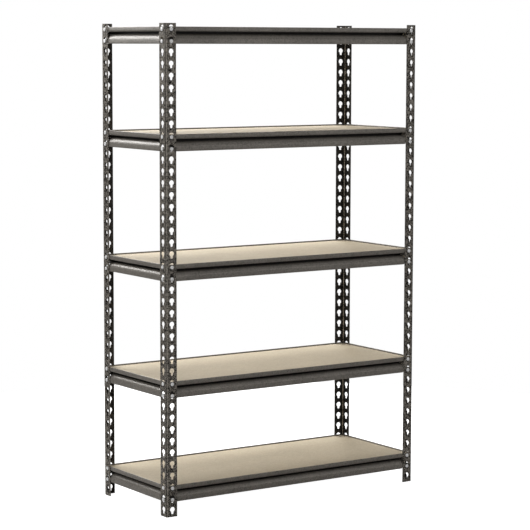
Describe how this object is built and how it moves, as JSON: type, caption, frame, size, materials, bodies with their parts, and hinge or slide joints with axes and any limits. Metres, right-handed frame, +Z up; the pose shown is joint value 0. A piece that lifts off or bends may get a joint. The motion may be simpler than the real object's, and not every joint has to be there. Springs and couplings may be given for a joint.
{
  "type": "boltless steel shelving",
  "caption": "Freestanding boltless shelving: keyhole-slotted angle posts, stepped shelf beams that hook in on riveted studs, and loose board decks laid inside them.",
  "frame": {"origin": "on the floor, midway between the four posts", "axes": "+Z up along the posts, +X along the long beams to the right seen from the front, +Y to the rear"},
  "size_m": [1.0146, 0.4176, 1.6002],
  "materials": {
    "post_paint": "mottled dark grey hammer-finish paint, semi-gloss",
    "beam_paint": "smoother dark grey paint, semi-gloss, faintly mottled",
    "stud_zinc": "bright zinc-plated stud heads",
    "board_wood": "raw particle board, fine chips, matt"
  },
  "bodies": {
    "posts": {"post_lower_front_left": "post_paint", "post_upper_front_left": "post_paint", "post_lower_front_right": "post_paint", "post_upper_front_right": "post_paint", "post_lower_rear_right": "post_paint", "post_upper_rear_right": "post_paint", "post_lower_rear_left": "post_paint", "post_upper_rear_left": "post_paint"},
    "shelf_1": {"beam_front_1": "beam_paint", "beam_right_1": "beam_paint", "beam_rear_1": "beam_paint", "beam_left_1": "beam_paint"},
    "deck_1": {"board_1": "board_wood"},
    "shelf_2": {"beam_front_2": "beam_paint", "beam_right_2": "beam_paint", "beam_rear_2": "beam_paint", "beam_left_2": "beam_paint"},
    "deck_2": {"board_2": "board_wood"},
    "shelf_3": {"beam_front_3": "beam_paint", "beam_right_3": "beam_paint", "beam_rear_3": "beam_paint", "beam_left_3": "beam_paint"},
    "deck_3": {"board_3": "board_wood"},
    "shelf_4": {"beam_front_4": "beam_paint", "beam_right_4": "beam_paint", "beam_rear_4": "beam_paint", "beam_left_4": "beam_paint"},
    "deck_4": {"board_4": "board_wood"},
    "shelf_5": {"beam_front_5": "beam_paint", "beam_right_5": "beam_paint", "beam_rear_5": "beam_paint", "beam_left_5": "beam_paint"},
    "deck_5": {"board_5": "board_wood"}
  },
  "joints": [
    {"name": "shelf_1_unhook", "type": "slide", "parent": "posts", "child": "shelf_1", "axis": [0, 0, 1], "range_m": [0, 0.01]},
    {"name": "board_1_lift", "type": "slide", "parent": "shelf_1", "child": "deck_1", "axis": [0, 0, 1], "range_m": [0, 0.04]},
    {"name": "shelf_2_unhook", "type": "slide", "parent": "posts", "child": "shelf_2", "axis": [0, 0, 1], "range_m": [0, 0.01]},
    {"name": "board_2_lift", "type": "slide", "parent": "shelf_2", "child": "deck_2", "axis": [0, 0, 1], "range_m": [0, 0.04]},
    {"name": "shelf_3_unhook", "type": "slide", "parent": "posts", "child": "shelf_3", "axis": [0, 0, 1], "range_m": [0, 0.01]},
    {"name": "board_3_lift", "type": "slide", "parent": "shelf_3", "child": "deck_3", "axis": [0, 0, 1], "range_m": [0, 0.04]},
    {"name": "shelf_4_unhook", "type": "slide", "parent": "posts", "child": "shelf_4", "axis": [0, 0, 1], "range_m": [0, 0.01]},
    {"name": "board_4_lift", "type": "slide", "parent": "shelf_4", "child": "deck_4", "axis": [0, 0, 1], "range_m": [0, 0.04]},
    {"name": "shelf_5_unhook", "type": "slide", "parent": "posts", "child": "shelf_5", "axis": [0, 0, 1], "range_m": [0, 0.01]},
    {"name": "board_5_lift", "type": "slide", "parent": "shelf_5", "child": "deck_5", "axis": [0, 0, 1], "range_m": [0, 0.04]}
  ]
}
